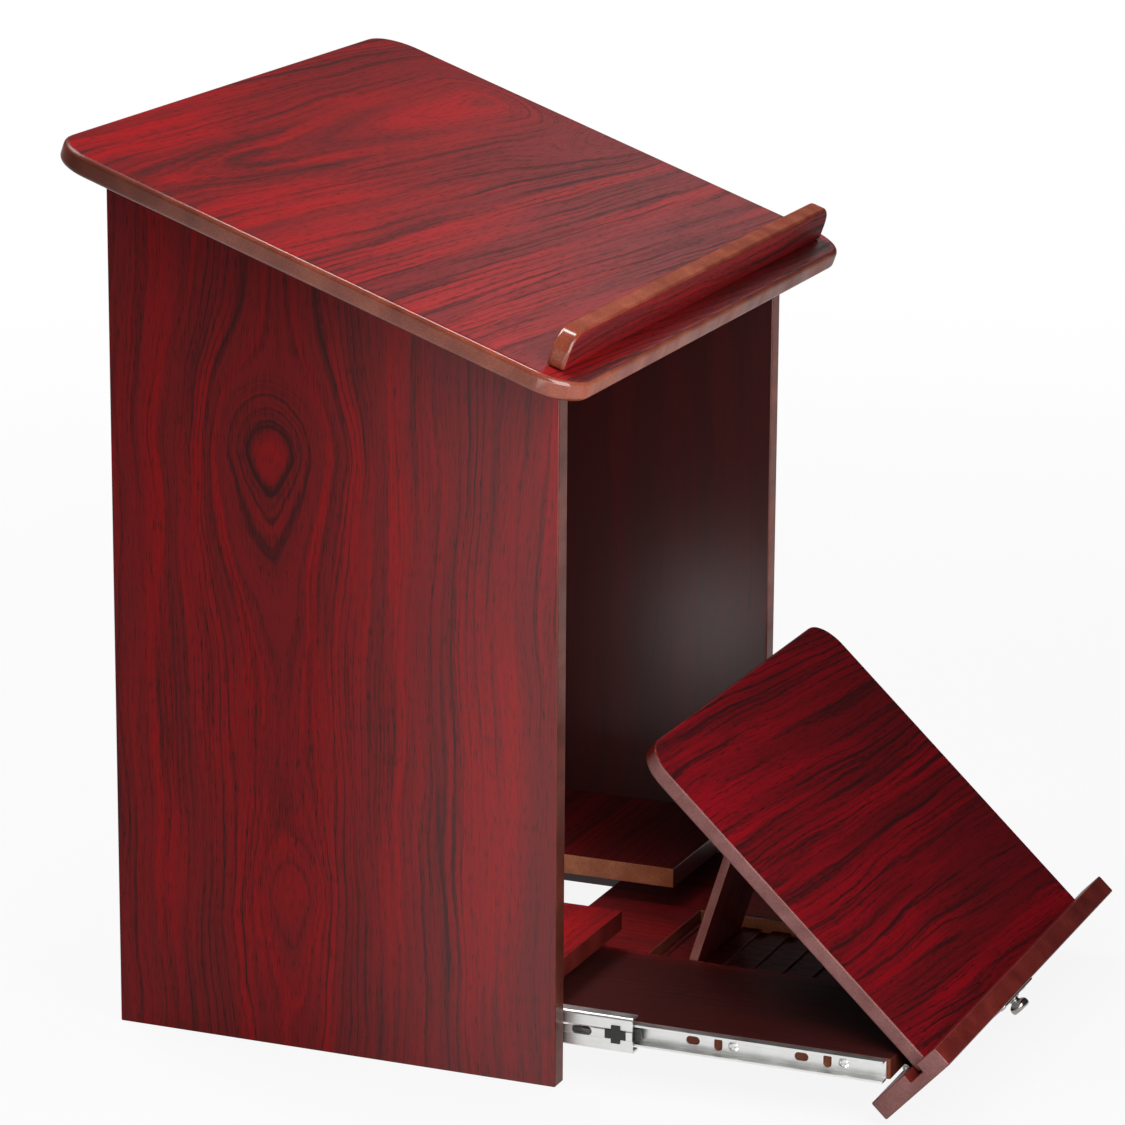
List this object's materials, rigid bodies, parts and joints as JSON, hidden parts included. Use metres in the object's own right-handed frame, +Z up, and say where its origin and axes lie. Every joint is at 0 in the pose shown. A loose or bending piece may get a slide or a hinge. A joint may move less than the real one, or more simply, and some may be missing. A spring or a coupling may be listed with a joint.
{
  "type": "tabletop reading lectern",
  "caption": "Tabletop wooden lectern with a sloped top and book stop over an open cabinet, and a pull-out tray that carries a second, tilting book rest propped on a rack.",
  "frame": {"origin": "middle of the bounding box, on the table that the side panels stand on", "axes": "+Z up; the reader stands on the -Y side, where the tray pulls out; +X to the reader's right"},
  "size_m": [0.436, 0.5068, 0.5176],
  "materials": {
    "mahogany_laminate": "red mahogany laminate, satin lacquer, stained edges",
    "stained_edge": "red-brown stain on bare board, satin",
    "zinc_steel": "bright zinc plate",
    "black_plastic": "moulded, matt",
    "gunmetal": "dark plated metal, satin",
    "beech": "bare"
  },
  "bodies": {
    "cabinet": {"side_panel_left": "mahogany_laminate", "side_panel_right": "mahogany_laminate", "back_panel": "mahogany_laminate", "shelf": "mahogany_laminate", "top_board": "mahogany_laminate", "book_stop": "mahogany_laminate", "shelf_dowel_left_front": "beech", "shelf_dowel_left_rear": "beech", "shelf_dowel_right_front": "beech", "shelf_dowel_right_rear": "beech", "top_dowel_left_front": "beech", "top_dowel_left_rear": "beech", "top_dowel_right_front": "beech", "top_dowel_right_rear": "beech", "book_stop_dowel_left": "beech", "book_stop_dowel_middle": "beech", "book_stop_dowel_right": "beech", "slide_outer_left": "zinc_steel", "slide_outer_right": "zinc_steel"},
    "slide_runners": {"slide_middle_left": "zinc_steel", "slide_middle_right": "zinc_steel", "slide_stop_left": "black_plastic", "slide_stop_right": "black_plastic"},
    "tray": {"tray_board": "mahogany_laminate", "rack_board": "stained_edge", "slide_inner_left": "zinc_steel", "slide_inner_right": "zinc_steel", "rest_hinge_left_fixed_leaf": "gunmetal", "rest_hinge_right_fixed_leaf": "gunmetal", "rest_hinge_left_pin": "zinc_steel", "rest_hinge_right_pin": "zinc_steel"},
    "book_rest": {"rest_panel": "mahogany_laminate", "front_board": "mahogany_laminate", "rest_dowel_left": "beech", "rest_dowel_middle": "beech", "rest_dowel_right": "beech", "pull_backplate": "gunmetal", "pull_knob": "gunmetal", "rest_hinge_left_moving_leaf": "gunmetal", "rest_hinge_right_moving_leaf": "gunmetal", "leg_hinge_left_fixed_leaf": "gunmetal", "leg_hinge_right_fixed_leaf": "gunmetal", "leg_hinge_left_pin": "zinc_steel", "leg_hinge_right_pin": "zinc_steel"},
    "prop_leg": {"prop_leg": "mahogany_laminate", "leg_hinge_left_moving_leaf": "gunmetal", "leg_hinge_right_moving_leaf": "gunmetal"}
  },
  "joints": [
    {"name": "runner_slide", "type": "slide", "parent": "cabinet", "child": "slide_runners", "axis": [0, -1, 0], "range_m": [-0.048, 0.065]},
    {"name": "tray_slide", "type": "slide", "parent": "slide_runners", "child": "tray", "axis": [0, -1, 0], "range_m": [-0.1325, 0]},
    {"name": "rest_tilt", "type": "hinge", "parent": "tray", "child": "book_rest", "pos_m": [0, -0.2174, 0.022], "axis": [1, 0, 0], "range_deg": [0, 40]},
    {"name": "leg_fold", "type": "hinge", "parent": "book_rest", "child": "prop_leg", "pos_m": [0, -0.10068, 0.15047], "axis": [1, 0, 0], "range_deg": [-62.5, 0]}
  ],
  "couplings": [
    {"joint": "leg_fold", "follows": "rest_tilt", "ratio": -1.55}
  ]
}
